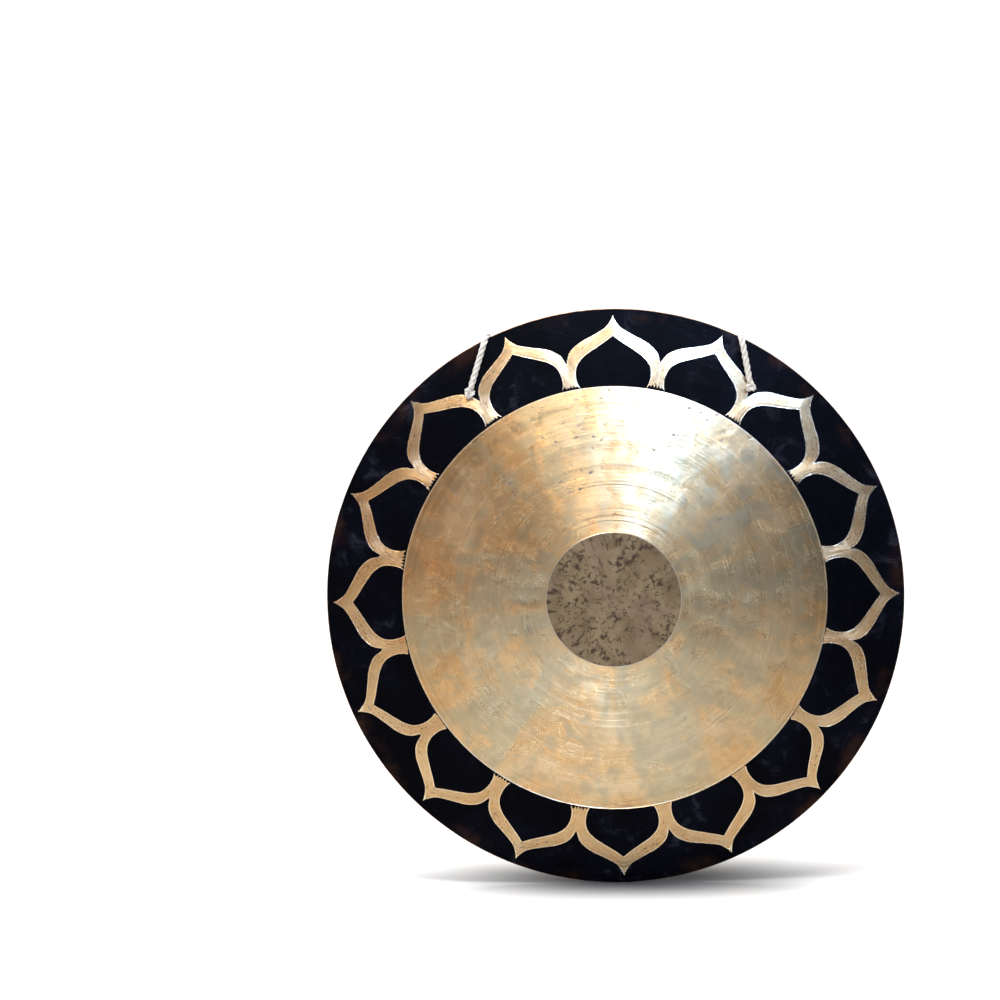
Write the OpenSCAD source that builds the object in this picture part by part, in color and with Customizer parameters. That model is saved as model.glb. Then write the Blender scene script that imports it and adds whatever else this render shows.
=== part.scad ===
// Flat bronze gong that hangs from two cord loops.
// Units are millimetres and +Z is up. The plate stands upright and its struck face looks towards -Y.
// The origin is the midpoint between the two hang holes, in the middle of the plate's thickness.

/* [Plate] */
// Outer diameter of the gong
gong_d = 600; // [500:10:720]
// Thickness of the raw hammered sheet
sheet_t = 2; // [1.5:0.1:3]
// How far the struck face bows out between rim and centre
dish_h = 18; // [8:1:30]
// Bevel on the front and back corners of the rim
rim_bevel = 0.5; // [0.2:0.1:0.6]

/* [Lathed disc] */
// Width of the dark border between the rim and the bright lathed disc
border_w = 80; // [65:1:100]
// Diameter of the raw centre that the lathe leaves
centre_d = 140; // [60:5:200]
// Depth that the lathe takes off the front
lathe_cut = 0.3; // [0.1:0.05:0.5]

/* [Hang holes] */
// Distance from the rim to the middle of each hang hole
hole_in = 40; // [34:1:48]
// Angle from straight up to each hang hole, in degrees
hole_angle = 33.75; // [26:0.25:45]

/* [Cords] */
// Cord diameter
cord_d = 6; // [4.5:0.1:7.2]
// Room between a cord and the wall of its hole
cord_room = 1.3; // [0.8:0.1:2]
// Lean of the left strand towards the middle of the gong, in degrees
left_lean = 18; // [0:1:24]
// Lean of the right strand towards the middle of the gong, in degrees
right_lean = 9.5; // [0:0.5:24]
// Radius of the cord's middle line where it goes over the rim and out of the hole
bend_r = 13; // [12:0.5:16]
// Gap between a cord and the rim
rim_gap = 0.4; // [0.3:0.05:0.8]

/* [Knots] */
// Knot width beyond the cord's own diameter
knot_more = 6.5; // [5.5:0.1:9]
// Knot height from the plate towards the viewer
knot_h = 12; // [10.5:0.1:14]
// Gap between a knot and the plate
knot_gap = 0.4; // [0.3:0.05:0.6]

/* [Hidden] */
$fn = 128;
eps = 0.01;
gong_r = gong_d / 2;
hole_circle_r = gong_r - hole_in;
hole_x = hole_circle_r * sin(hole_angle);
hole_up = hole_circle_r * cos(hole_angle);
hole_d = cord_d + 2 * cord_room;
// The plate is a slice of a hollow ball. This is the ball's radius at mid-thickness.
ball_r = (gong_r * gong_r + dish_h * dish_h) / (2 * dish_h);
// Depth of the ball at a distance r from the gong's axis, measured from the centre of the face
function sag(r) = ball_r - sqrt(ball_r * ball_r - r * r);
front_ball = ball_r + sheet_t / 2;
back_ball = ball_r - sheet_t / 2;
rim_front = ball_r - sqrt(front_ball * front_ball - gong_r * gong_r);
rim_back = ball_r - sqrt(back_ball * back_ball - gong_r * gong_r);
// Mid-thickness of the rim, from the plane of the hang holes
rim_y = sag(gong_r) - sag(hole_circle_r);
knot_d = cord_d + knot_more;
knot_y = -sheet_t / 2 - knot_gap - knot_h / 2;
wrap_d = 6;
// A cord ends this deep inside its knot
bury = 1;
// Sides of a cord's tube
sides = 10;

// Routes from the back of the rim down to the bight and up again, one point each as [x, y, z].
// x grows from the hole towards the middle of the gong, y is from the hole, and z is from the rim bend's end.
LEFT_LOOP = [[14, 17, -7], [13, 18, -18], [13, 19, -35], [14, 20, -60], [16, 20, -93], [18, 20, -128],
  [20, 20, -163], [22, 20, -193], [23, 20, -218], [23, 20, -236], [23, 20, -248], [19, 20, -258],
  [8, 20, -263], [-3, 20, -258], [-7, 20, -248], [-7, 20, -236], [-6, 21, -218], [-5, 21, -193],
  [-4, 21, -158], [-2, 21, -123], [-1, 21, -96]];
RIGHT_LOOP = [[7, 17, -7], [8, 18, -17], [11, 19, -34], [14, 20, -59], [16, 20, -91], [19, 20, -125],
  [21, 20, -160], [23, 20, -190], [24, 20, -215], [24, 20, -233], [24, 20, -246], [20, 20, -256],
  [9, 20, -261], [-2, 20, -256], [-6, 20, -246], [-6, 20, -233], [-6, 21, -215], [-5, 21, -190],
  [-3, 21, -155], [-1, 21, -120], [0, 21, -91]];
// The last straight stretch before the bend into the hole, from the hole's middle
HOLE_RUN = [[0, 21, -30], [0, 21, -20]];

function unit(v) = v / norm(v);
// How far the strand runs from the hole to the rim when it leans inwards by a
function run_to_rim(a) = let (b = hole_up * cos(a) - hole_x * sin(a),
  c = hole_circle_r * hole_circle_r - gong_r * gong_r) sqrt(b * b - c) - b;
// Angle at the rim between the strand and the rim's own radius
function skew(a) = let (s = run_to_rim(a)) a + atan2(hole_x - s * sin(a), hole_up + s * cos(a));
// A point of the bend over the rim, t degrees on from the front
function rim_bend(a, t) = let (mid = run_to_rim(a) + (cord_d / 2 + rim_gap) / cos(skew(a)) - bend_r,
  s = mid + bend_r * sin(t)) [s * sin(a), rim_y - bend_r * cos(t), s * cos(a)];
// A whole route: out of the knot, up the face, over the rim, round the loop and back through the hole
function route(a, loop) = let (top = rim_bend(a, 0), out = unit([top[0], top[1] - knot_y, top[2]]))
  concat([for (s = [knot_d / 2 - bury, 14, 28, norm(top - [0, knot_y, 0]) - 7])
    [0, knot_y, 0] + out * s], [for (t = [0:30:180]) rim_bend(a, t)],
    [for (q = loop) q + [0, 0, rim_bend(a, 180)[2]]], HOLE_RUN,
    [for (t = [0:30:90]) [0, HOLE_RUN[0][1] - bend_r * (1 - cos(t)), bend_r * (sin(t) - 1)]],
    [[0, 2, 0], [0, knot_y + knot_h / 2 - bury, 0]]);

function tangents(p) = [for (i = [0:len(p) - 1]) unit(p[min(i + 1, len(p) - 1)] - p[max(i - 1, 0)])];
// Directions square to each tangent, each turned as little as possible from the one before
function normals(t, n) = n == 0 ? [unit(cross(t[0], [1, 0.1, 0]))]
  : let (before = normals(t, n - 1), v = before[n - 1] - (before[n - 1] * t[n]) * t[n])
    concat(before, [unit(v)]);

// A tube along the points p
module tube(p, d) {
  t = tangents(p);
  u = normals(t, len(p) - 1);
  pts = [for (i = [0:len(p) - 1]) for (k = [0:sides - 1])
    p[i] + d / 2 * (cos(360 * k / sides) * u[i] + sin(360 * k / sides) * cross(t[i], u[i]))];
  walls = [for (i = [0:len(p) - 2]) for (k = [0:sides - 1]) let (m = (k + 1) % sides)
    [i * sides + k, (i + 1) * sides + k, (i + 1) * sides + m, i * sides + m]];
  start = [for (k = [0:sides - 1]) k];
  last = [for (k = [sides - 1:-1:0]) (len(p) - 1) * sides + k];
  polyhedron(points = pts, faces = concat(walls, [start], [last]), convexity = 6);
}

// Half section of the plate in the plane of its axis. x is the distance from the axis and y runs to the back.
module section() {
  difference() {
    intersection() {
      difference() {
        translate([0, ball_r]) circle(r = front_ball, $fn = 256);
        translate([0, ball_r]) circle(r = back_ball, $fn = 256);
      }
      translate([0, -sheet_t]) square([gong_r, dish_h + 3 * sheet_t]);
    }
    // The lathe's cut, between the raw centre and the dark border
    intersection() {
      difference() {
        translate([0, ball_r]) circle(r = front_ball + 1, $fn = 256);
        translate([0, ball_r]) circle(r = front_ball - lathe_cut, $fn = 256);
      }
      translate([centre_d / 2, -sheet_t - 2])
        square([gong_r - border_w - centre_d / 2, dish_h + 3 * sheet_t]);
    }
    // Bevels at the rim
    polygon([[gong_r - rim_bevel, rim_front - eps], [gong_r + eps, rim_front - eps],
      [gong_r + eps, rim_front + rim_bevel]]);
    polygon([[gong_r - rim_bevel, rim_back + eps], [gong_r + eps, rim_back - rim_bevel],
      [gong_r + eps, rim_back + eps]]);
  }
}

// The plate with its centre hole_up below the origin. Its mid-thickness at the hang holes is at y = 0.
module gong_plate() {
  color("goldenrod") difference() {
    translate([0, -sag(hole_circle_r), -hole_up]) rotate([90, 0, 0]) mirror([0, 0, 1])
      rotate_extrude($fn = 180) section();
    for (s = [-1, 1]) translate([s * hole_x, 0, 0]) rotate([90, 0, 0])
      cylinder(d = hole_d, h = 8 * sheet_t, center = true, $fn = 64);
  }
}

// Two wraps of cord round a core, pulled tight against the plate
module knot() {
  r = (knot_d - wrap_d) / 2;
  h = (knot_h - wrap_d) / 2;
  translate([0, knot_y, 0]) rotate([90, 0, 0]) rotate_extrude($fn = 72) {
    for (s = [-1, 1]) translate([r, s * h]) circle(d = wrap_d, $fn = 48);
    translate([0, -knot_h / 2]) square([r, knot_h]);
    translate([0, -h]) square([r + wrap_d / 2 - 0.8, 2 * h]);
  }
}

module left_cord() {
  color("white") translate([-hole_x, 0, 0]) tube(route(left_lean, LEFT_LOOP), cord_d);
}

module right_cord() {
  color("white") translate([hole_x, 0, 0]) mirror([1, 0, 0])
    tube(route(right_lean, RIGHT_LOOP), cord_d);
}

module left_knot() { color("ivory") translate([-hole_x, 0, 0]) knot(); }
module right_knot() { color("ivory") translate([hole_x, 0, 0]) knot(); }

gong_plate();
left_cord();
left_knot();
right_cord();
right_knot();
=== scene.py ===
# %% [markdown]
# # A flat bronze gong on two cord loops
# A rimless gong is one hammered sheet of bronze, bowed a little towards the player. A black skin
# of oxide from the forge is left on a wide border, the middle is turned bright on a lathe, and a
# raw spot stays in the centre. Here we load the measured model first. It is the frame that
# every shape below has to fit.

# %% Load the frame
import math
import random

import bpy
import numpy as np
from mathutils import Matrix, Quaternion, Vector


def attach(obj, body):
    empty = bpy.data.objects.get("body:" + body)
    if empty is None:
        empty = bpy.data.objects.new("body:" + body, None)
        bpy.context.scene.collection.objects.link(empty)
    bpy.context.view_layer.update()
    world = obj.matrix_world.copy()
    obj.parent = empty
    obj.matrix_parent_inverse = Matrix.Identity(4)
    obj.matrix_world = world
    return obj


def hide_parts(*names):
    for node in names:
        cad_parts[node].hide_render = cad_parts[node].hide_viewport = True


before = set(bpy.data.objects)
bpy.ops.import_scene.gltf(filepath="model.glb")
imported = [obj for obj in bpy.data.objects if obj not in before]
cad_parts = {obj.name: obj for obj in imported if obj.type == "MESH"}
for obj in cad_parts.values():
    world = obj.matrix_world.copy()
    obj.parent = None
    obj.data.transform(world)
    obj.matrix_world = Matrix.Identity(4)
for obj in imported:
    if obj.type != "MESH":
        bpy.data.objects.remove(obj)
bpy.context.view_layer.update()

print("frame nodes:", sorted(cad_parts))

# %% [markdown]
# ## Sizes
# All lengths are in metres. The plate is a slice of a hollow ball, so one function, `sag`, says how
# deep any point of the face lies. Writing it once means that the face, the back, the scraped ring
# and the cords all agree about where the metal is.

# %% Sizes of the plate
GONG_R, SHEET, DISH = 0.300, 0.002, 0.018
BORDER, CENTRE_R, LATHE_CUT, RIM_BEVEL = 0.080, 0.070, 0.0003, 0.0005
HOLE_CIRCLE, HOLE_ANGLE, HOLE_R = 0.260, math.radians(33.75), 0.0043
LATHED_R = GONG_R - BORDER
BALL_R = (GONG_R ** 2 + DISH ** 2) / (2 * DISH)


def sag(r):
    """Depth of the bowed sheet at a distance r from its centre."""
    return BALL_R - math.sqrt(BALL_R ** 2 - r * r)


HOLE_X, HOLE_UP = HOLE_CIRCLE * math.sin(HOLE_ANGLE), HOLE_CIRCLE * math.cos(HOLE_ANGLE)
CENTRE_Z = -HOLE_UP
FLOOR_Z = CENTRE_Z - GONG_R
RIM_Y = sag(GONG_R) - sag(HOLE_CIRCLE)


def face_y(r, lift=SHEET / 2):
    """Where a surface lies that is lift in front of the sheet's middle, or behind it if negative."""
    return BALL_R - sag(HOLE_CIRCLE) - math.sqrt((BALL_R + lift) ** 2 - r * r)


print(f"ball radius {BALL_R:.3f} m, rim {RIM_Y * 1000:.1f} mm behind the holes, floor at {FLOOR_Z:.4f} m")

# %% [markdown]
# ## Camera
# The camera stands almost level with the gong's centre, a little above it, and about two metres
# away. It turns away from the gong, so that the gong sits low and right in the frame. A turn is used
# in place of a lens shift because other views then need no undoing. The gong should look a little turned
# in its own plane, so at the end the whole camera is turned about the gong's axis.

# %% Place the camera
CAM_AWAY, CAM_SIDE, CAM_UP = 1.881, math.radians(-0.9), math.radians(6.25)
CAM_YAW, CAM_PITCH, CAM_ROLL = math.radians(3.67), math.radians(3.03), math.radians(-1.3)
GONG_TURN = math.radians(2.25)


def placed_camera():
    """A camera that looks from CAM_SIDE and CAM_UP, then turns off the gong by the yaw, pitch and roll."""
    back = Vector((math.sin(CAM_SIDE) * math.cos(CAM_UP), -math.cos(CAM_SIDE) * math.cos(CAM_UP),
                   math.sin(CAM_UP)))
    ahead = -back
    right = ahead.cross(Vector((0, 0, 1))).normalized()
    up = right.cross(ahead)
    turn = Quaternion(up, CAM_YAW)
    ahead, right = turn @ ahead, turn @ right
    turn = Quaternion(right, CAM_PITCH)
    ahead, up = turn @ ahead, turn @ up
    turn = Quaternion(ahead, CAM_ROLL)
    right, up = turn @ right, turn @ up
    data = bpy.data.cameras.new("camera")
    data.lens, data.sensor_width = 64.8, 36
    camera = bpy.data.objects.new("camera", data)
    bpy.context.scene.collection.objects.link(camera)
    facing = Matrix((right, up, -ahead)).transposed().to_4x4()
    place = Matrix.Translation(Vector((0, RIM_Y, CENTRE_Z)) + back * CAM_AWAY) @ facing
    middle = Matrix.Translation((0, 0, CENTRE_Z))
    camera.matrix_world = middle @ Matrix.Rotation(GONG_TURN, 4, "Y") @ middle.inverted() @ place
    bpy.context.scene.camera = camera
    return camera


camera = placed_camera()
print("camera at", [round(v, 3) for v in camera.location])

# %% [markdown]
# ## The cords' routes
# Each cord starts in the knot on the face, rises to the rim, goes over it, hangs behind the plate as
# a slack loop and comes back through its hole into the same knot. The points are the ones that the
# measured model follows. A cord can't turn a sharp corner, so a smooth line is drawn that only leans
# on the points: a B-spline, which has no kinks in its bends.

# %% Route points
CORD_D, BEND_R, RIM_GAP, KNOT_GAP = 0.006, 0.013, 0.0004, 0.0004
KNOT_D, KNOT_H, CORD_LENGTH = 0.0125, 0.012, 0.6
KNOT_Y = -SHEET / 2 - KNOT_GAP - KNOT_H / 2
LEANS = {"left": math.radians(18), "right": math.radians(9.5)}
LOOPS = {
    "left": [(14, 17, -7), (13, 18, -18), (13, 19, -35), (14, 20, -60), (16, 20, -93), (18, 20, -128),
             (20, 20, -163), (22, 20, -193), (23, 20, -218), (23, 20, -236), (23, 20, -248), (19, 20, -258),
             (8, 20, -263), (-3, 20, -258), (-7, 20, -248), (-7, 20, -236), (-6, 21, -218), (-5, 21, -193),
             (-4, 21, -158), (-2, 21, -123), (-1, 21, -96)],
    "right": [(7, 17, -7), (8, 18, -17), (11, 19, -34), (14, 20, -59), (16, 20, -91), (19, 20, -125),
              (21, 20, -160), (23, 20, -190), (24, 20, -215), (24, 20, -233), (24, 20, -246), (20, 20, -256),
              (9, 20, -261), (-2, 20, -256), (-6, 20, -246), (-6, 20, -233), (-6, 21, -215), (-5, 21, -190),
              (-3, 21, -155), (-1, 21, -120), (0, 21, -91)],
}
HOLE_RUN = [(0, 21, -30), (0, 21, -20)]
SOFTEN = 1.04  # a B-spline cuts inside a bend, so a bend's points stand this much further out
LINE_STEP = 0.0012
SUNK, BEHIND = 0.001, 0.021  # how deep a cord's end sits in its knot, and how far back its loop hangs


def rim_bend(lean, turn):
    """A point of the bend over the rim, turn degrees on from the front, measured from the hole."""
    up, across = HOLE_UP * math.cos(lean) - HOLE_X * math.sin(lean), HOLE_CIRCLE ** 2 - GONG_R ** 2
    run = math.sqrt(up * up - across) - up
    skew = lean + math.atan2(HOLE_X - run * math.sin(lean), HOLE_UP + run * math.cos(lean))
    r = BEND_R * SOFTEN
    s = run + (CORD_D / 2 + RIM_GAP) / math.cos(skew) - BEND_R + r * math.sin(math.radians(turn))
    return np.array([s * math.sin(lean), RIM_Y - r * math.cos(math.radians(turn)), s * math.cos(lean)])


def route(side):
    """The cord's points from its knot over the rim, round the loop and back to the knot."""
    lean, knot = LEANS[side], np.array([0, KNOT_Y, 0])
    up = rim_bend(lean, 0) - knot
    far = np.linalg.norm(up)
    points = [knot + up / far * s for s in (KNOT_D / 2 - SUNK, 0.014, 0.028, far - 0.007)]
    points += [rim_bend(lean, t) for t in range(0, 181, 30)]
    end = rim_bend(lean, 180)
    points += [np.array([x, y, z]) / 1000 + [0, 0, end[2]] for x, y, z in LOOPS[side]]
    points += [np.array(p) / 1000 for p in HOLE_RUN]
    for t in (0, 30, 60, 90):
        a, r = math.radians(t), BEND_R * SOFTEN
        points.append(np.array([0, BEHIND - r * (1 - math.cos(a)), r * (math.sin(a) - 1)]))
    points[-1][1] = 0.0075
    points += [np.array([0, 0.002, 0]), np.array([0, KNOT_Y + KNOT_H / 2 - SUNK, 0])]
    points = np.array(points)
    points[:, 0] = points[:, 0] - HOLE_X if side == "left" else HOLE_X - points[:, 0]
    return points


def smooth_line(points, step):
    """Points a step apart on the cubic B-spline that leans on the given points."""
    p = np.vstack([2 * points[0] - points[1], points, 2 * points[-1] - points[-2]])
    t = np.linspace(0, 1, 24, endpoint=False)[:, None]
    spans = [((1 - t) ** 3 * a + (3 * t ** 3 - 6 * t ** 2 + 4) * b
              + (-3 * t ** 3 + 3 * t ** 2 + 3 * t + 1) * c + t ** 3 * d) / 6
             for a, b, c, d in zip(p, p[1:], p[2:], p[3:])]
    fine = np.vstack(spans + [points[-1:]])
    along = np.r_[0, np.cumsum(np.linalg.norm(np.diff(fine, axis=0), axis=1))]
    at = np.linspace(0, along[-1], max(2, round(along[-1] / step)) + 1)
    return np.column_stack([np.interp(at, along, fine[:, k]) for k in range(3)])


lines = {side: smooth_line(route(side), LINE_STEP) for side in LEANS}
for side, line in lines.items():
    print(side, "cord:", round(float(np.linalg.norm(np.diff(line, axis=0), axis=1).sum()), 4), "m")

# %% [markdown]
# ## Twisted strands
# The cord is three soft strands laid round each other. It could be one tube with a striped bump, but
# the twist shows at the outline too, so each strand is a real tube that winds round the route. A
# frame of two directions is carried along the line and turned as little as possible, and the strands
# wind round the line against it.

# %% Sweep strands along a line
STRANDS, STRAND_SIDES = 3, 10
LAY = 0.021  # the strands of a cord go once round it in this length
LOFT = 1.1  # soft strands bulge out past the cord's named width by this much


def carried_frame(line):
    """Two directions square to the line at each point, carried along without extra turning."""
    ahead = np.gradient(line, axis=0)
    ahead /= np.linalg.norm(ahead, axis=1)[:, None]
    side = np.cross(ahead[0], [1, 0.1, 0])
    sides = []
    for a in ahead:
        side = side - side.dot(a) * a
        side /= np.linalg.norm(side)
        sides.append(side)
    sides = np.array(sides)
    return sides, np.cross(ahead, sides)


def twisted_cord(name, line, thick, lay):
    """Three strands of total width thick that wind once round the line in every lay metres."""
    strand_r = thick / 2 / (1 + 2 / math.sqrt(3))
    offset = strand_r * 2 / math.sqrt(3)
    side, other = carried_frame(line)
    along = np.r_[0, np.cumsum(np.linalg.norm(np.diff(line, axis=0), axis=1))]
    verts, faces, uvs = [], [], []
    n = len(line)
    for s in range(STRANDS):
        a = 2 * math.pi * (along / lay + s / STRANDS)
        axis = line + offset * (np.cos(a)[:, None] * side + np.sin(a)[:, None] * other)
        first, u, v = len(verts), *carried_frame(axis)
        for i in range(n):
            for k in range(STRAND_SIDES):
                b = 2 * math.pi * k / STRAND_SIDES
                verts.append(axis[i] + strand_r * (math.cos(b) * u[i] + math.sin(b) * v[i]))
        for i in range(n - 1):
            for k in range(STRAND_SIDES):
                m = (k + 1) % STRAND_SIDES
                faces.append([first + j for j in (i * STRAND_SIDES + k, i * STRAND_SIDES + m,
                                                  (i + 1) * STRAND_SIDES + m, (i + 1) * STRAND_SIDES + k)])
                uvs += [(along[i], k / STRAND_SIDES), (along[i], (k + 1) / STRAND_SIDES),
                        (along[i + 1], (k + 1) / STRAND_SIDES), (along[i + 1], k / STRAND_SIDES)]
        for row, turned in ((0, True), (n - 1, False)):
            cap = [first + row * STRAND_SIDES + k for k in range(STRAND_SIDES)]
            faces.append(cap[::-1] if turned else cap)
            uvs += [(along[row], 0.5)] * STRAND_SIDES
    mesh = bpy.data.meshes.new(name)
    mesh.from_pydata([tuple(v) for v in verts], [], faces)
    layer = mesh.uv_layers.new(name="fibre")
    layer.data.foreach_set("uv", np.array(uvs, dtype=np.float32).ravel())
    mesh.polygons.foreach_set("use_smooth", [len(f) == 4 for f in faces])
    mesh.update()
    obj = bpy.data.objects.new(name, mesh)
    bpy.context.scene.collection.objects.link(obj)
    return obj


cords = {side: twisted_cord(f"{side}_twisted_cord", line, CORD_D * LOFT, LAY)
         for side, line in lines.items()}
print("faces in one cord:", len(cords["left"].data.polygons))

# %% [markdown]
# ## Knots
# A small knot stops each cord at the front of its hole. It has the shape of a trefoil: a closed line that
# goes twice round while it weaves over and under three times. It isn't tied from the cord. It is a loop
# of its own, of thinner strands, so that it packs into a ball only about twice as wide as the cord, and
# both ends of the cord run into it. It is turned a little on each side, because no two knots lie the
# same way.

# %% Tie the knots
KNOT_TURN = {"left": math.radians(20), "right": math.radians(-65)}
KNOT_STRAND, KNOT_LAY = 0.0042, 0.014


def knot_line(side, reach=0.00143, weave=0.0026):
    """One closed trefoil round the hole's middle, facing the player."""
    t = np.linspace(0, 2 * math.pi, 140)
    x, z = np.sin(t) + 2 * np.sin(2 * t), np.cos(t) - 2 * np.cos(2 * t)
    c, s = math.cos(KNOT_TURN[side]), math.sin(KNOT_TURN[side])
    middle = -HOLE_X if side == "left" else HOLE_X
    return np.column_stack([middle + reach * (c * x + s * z), KNOT_Y - weave * np.sin(3 * t),
                            reach * (c * z - s * x)])


knots = {side: twisted_cord(f"{side}_tied_knot", knot_line(side), KNOT_STRAND, KNOT_LAY) for side in LEANS}
for side in LEANS:
    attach(cords[side], "root")
    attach(knots[side], "root")
    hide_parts(f"{side}_cord")
    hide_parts(f"{side}_knot")
print("knot width:", round(float(np.ptp([v.co.x for v in knots["left"].data.vertices])) * 1000, 1), "mm")

# %% [markdown]
# ## Working by hand in edit mode
# A few helpers do what the mouse does: pick one object, pick faces by a rule, and run edit-mode tools
# on them. An operator acts on everything that is selected, so each helper starts by deselecting.

# %% Pick faces by a rule
def only(obj):
    """Selects this object alone and makes it active."""
    bpy.ops.object.select_all(action="DESELECT")
    obj.select_set(True)
    bpy.context.view_layer.objects.active = obj


def spot_inside(mesh):
    """The middle of each face's biggest triangle. A face bent like a U can have its own centre outside it."""
    mesh.calc_loop_triangles()
    t = len(mesh.loop_triangles)
    corners, owner, area = np.empty(t * 3, dtype=np.int32), np.empty(t, dtype=np.int32), np.empty(t)
    mesh.loop_triangles.foreach_get("vertices", corners)
    mesh.loop_triangles.foreach_get("polygon_index", owner)
    mesh.loop_triangles.foreach_get("area", area)
    place = np.empty(len(mesh.vertices) * 3)
    mesh.vertices.foreach_get("co", place)
    order = np.argsort(area)
    spot = np.zeros((len(mesh.polygons), 3))
    spot[owner[order]] = place.reshape(-1, 3)[corners.reshape(-1, 3)].mean(axis=1)[order]
    return spot


def pick_faces(obj, rule):
    """Selects the faces for which rule(inside point, normal, material number) holds. Returns how many."""
    mesh = obj.data
    n = len(mesh.polygons)
    normal, slot = np.empty(n * 3), np.empty(n, dtype=np.int32)
    mesh.polygons.foreach_get("normal", normal)
    mesh.polygons.foreach_get("material_index", slot)
    chosen = rule(spot_inside(mesh), normal.reshape(-1, 3), slot)
    mesh.vertices.foreach_set("select", np.zeros(len(mesh.vertices), dtype=bool))
    mesh.edges.foreach_set("select", np.zeros(len(mesh.edges), dtype=bool))
    mesh.polygons.foreach_set("select", chosen)
    return int(chosen.sum())


def edit_faces():
    """Goes to edit mode with the faces that pick_faces chose."""
    bpy.ops.object.mode_set(mode="EDIT")
    bpy.ops.mesh.select_mode(type="FACE")


print("helpers for picking: only, pick_faces, edit_faces")

# %% [markdown]
# ## Turning a profile
# A lathe turns one profile all the way round. Here one vertex is extruded along the profile, and the
# spin tool sweeps the line round the gong's axis. Where it meets itself, double points are merged.

# %% Spin a profile
SEAM = 0.00001


def turned_sheet(name, profile, steps):
    """Draws a profile of (distance from the axis, y) points by extruding one vertex, then spins it round."""
    bpy.ops.object.select_all(action="DESELECT")
    bpy.ops.mesh.primitive_plane_add(size=0.001, location=(profile[0][0], profile[0][1], CENTRE_Z))
    obj = bpy.context.object
    obj.name = obj.data.name = name
    bpy.ops.object.transform_apply(location=True, rotation=True, scale=True)
    bpy.ops.object.mode_set(mode="EDIT")
    bpy.ops.mesh.select_mode(type="VERT")
    bpy.ops.mesh.select_all(action="SELECT")
    bpy.ops.mesh.merge(type="CENTER")
    for (r0, y0), (r1, y1) in zip(profile, profile[1:]):
        bpy.ops.mesh.extrude_region_move(TRANSFORM_OT_translate={"value": (r1 - r0, y1 - y0, 0)})
    bpy.ops.mesh.select_all(action="SELECT")
    bpy.ops.mesh.spin(steps=steps, angle=2 * math.pi, center=(0, 0, CENTRE_Z), axis=(0, 1, 0))
    bpy.ops.mesh.select_all(action="SELECT")
    bpy.ops.mesh.remove_doubles(threshold=SEAM)
    bpy.ops.mesh.normals_make_consistent(inside=False)
    bpy.ops.object.mode_set(mode="OBJECT")
    return obj


print("double points are merged within", SEAM, "m")

# %% [markdown]
# ## The plate
# A turned shape is best drawn as half a section and spun, just as a lathe makes it. The profile runs
# from the raw centre over a small step down onto the lathed disc, up again to the border, round the
# bevelled rim and home along the back. Its rings lie a few millimetres apart, close enough to
# carry hammer dents later.

# %% Spin the plate
SPIN_STEPS, RING_GAP, BACK_GAP, STEP_RUN = 384, 0.0042, 0.0066, 0.0003
BACK_STEP = 0.006  # on the back the finishes change without a step, and one ring spans each change


def rings(a, b, lift, gap=RING_GAP):
    """Profile points from a to b on a surface that is lift in front of the middle of the sheet."""
    n = max(1, round(abs(b - a) / gap))
    return [(a + (b - a) * i / n, face_y(a + (b - a) * i / n, lift)) for i in range(n + 1)]


BACK = -SHEET / 2
rim_profile = [(GONG_R, face_y(GONG_R) + RIM_BEVEL), (GONG_R, face_y(GONG_R, BACK) - RIM_BEVEL)]
profile = (rings(0, CENTRE_R - STEP_RUN, SHEET / 2)
           + rings(CENTRE_R, LATHED_R - STEP_RUN, SHEET / 2 - LATHE_CUT)
           + rings(LATHED_R, GONG_R - RIM_BEVEL, SHEET / 2) + rim_profile
           + rings(GONG_R - RIM_BEVEL, LATHED_R, BACK, BACK_GAP)
           + rings(LATHED_R - BACK_STEP, CENTRE_R, BACK, BACK_GAP)
           + rings(CENTRE_R - BACK_STEP, 0, BACK, BACK_GAP))
plate = turned_sheet("bronze_plate", profile, SPIN_STEPS)
print("plate:", len(plate.data.polygons), "faces from", len(profile), "profile points")

# %% [markdown]
# ## Finishes by name
# Five finishes share the one sheet: black skin from the forge, scraped bands, lathed bronze, the raw
# centre, and the worn edge of the metal. They are made empty now, so that faces can be given to them
# while the plate is modelled, and are filled with nodes further down. A sixth slot, fence_mark, only
# marks the cutting walls of the lotus ring, and goes when they go.

# %% Make the empty finishes
FINISHES = ["black_skin", "scraped_band", "lathed_bronze", "raw_centre", "worn_edge", "fence_mark"]
SLOT = {name: number for number, name in enumerate(FINISHES)}
for name in FINISHES:
    plate.data.materials.append(bpy.data.materials.new(name))


def give(obj, finish, rule):
    """Gives a finish to the faces for which rule holds. Returns how many."""
    count = pick_faces(obj, rule)
    faces = obj.data.polygons
    chosen, slots = np.empty(len(faces), dtype=bool), np.empty(len(faces), dtype=np.int32)
    faces.foreach_get("select", chosen)
    faces.foreach_get("material_index", slots)
    faces.foreach_set("material_index", np.where(chosen, SLOT[finish], slots).astype(np.int32))
    return count


print("finishes:", FINISHES[:-1])

# %% [markdown]
# ## The lotus ring
# A scraper has cut a ring of pointed petals through the black skin. Each half petal follows two ogee
# curves, given here as angle from the petal's middle and distance from the gong's centre. The ring is
# the metal between one outer and one inner outline. Hand work is never quite even, so each petal is
# moved and stretched by a small seeded amount. The foot of each post ends in ragged scraper marks.

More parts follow.
